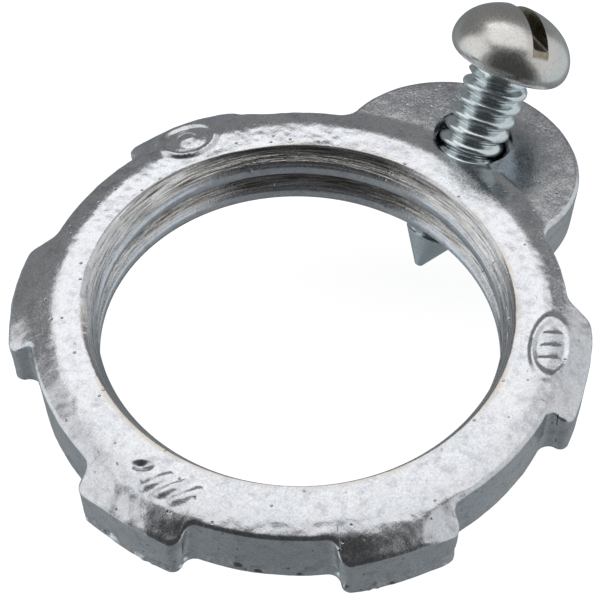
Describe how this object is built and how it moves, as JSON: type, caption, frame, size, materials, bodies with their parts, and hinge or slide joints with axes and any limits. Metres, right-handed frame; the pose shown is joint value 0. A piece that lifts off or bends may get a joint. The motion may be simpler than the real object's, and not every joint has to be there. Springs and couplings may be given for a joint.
{
  "type": "conduit bonding locknut",
  "caption": "Lugged steel locknut ring threaded for conduit, with a boss that carries a slanted slotted bonding screw.",
  "frame": {"origin": "on the axis of the conduit thread, in the plane of the flat bearing face", "axes": "+Z along the conduit thread's axis, from the bearing face to the domed face; +X towards the boss that carries the screw"},
  "size_m": [0.0345, 0.0274, 0.0131],
  "materials": {
    "zinc_plated_body": "clear bluish zinc plate over a cast surface, fine grain, satin",
    "steel_screw": "zinc-plated steel, satin tumbled head, brighter shank"
  },
  "bodies": {
    "nut": {"locknut_body": "zinc_plated_body"},
    "screw": {"bonding_screw": "steel_screw"}
  },
  "joints": [
    {"name": "screw_travel", "type": "slide", "parent": "nut", "child": "screw", "axis": [0.5664, 0, 0.8241], "range_m": [-0.00238, 0.00397]}
  ]
}
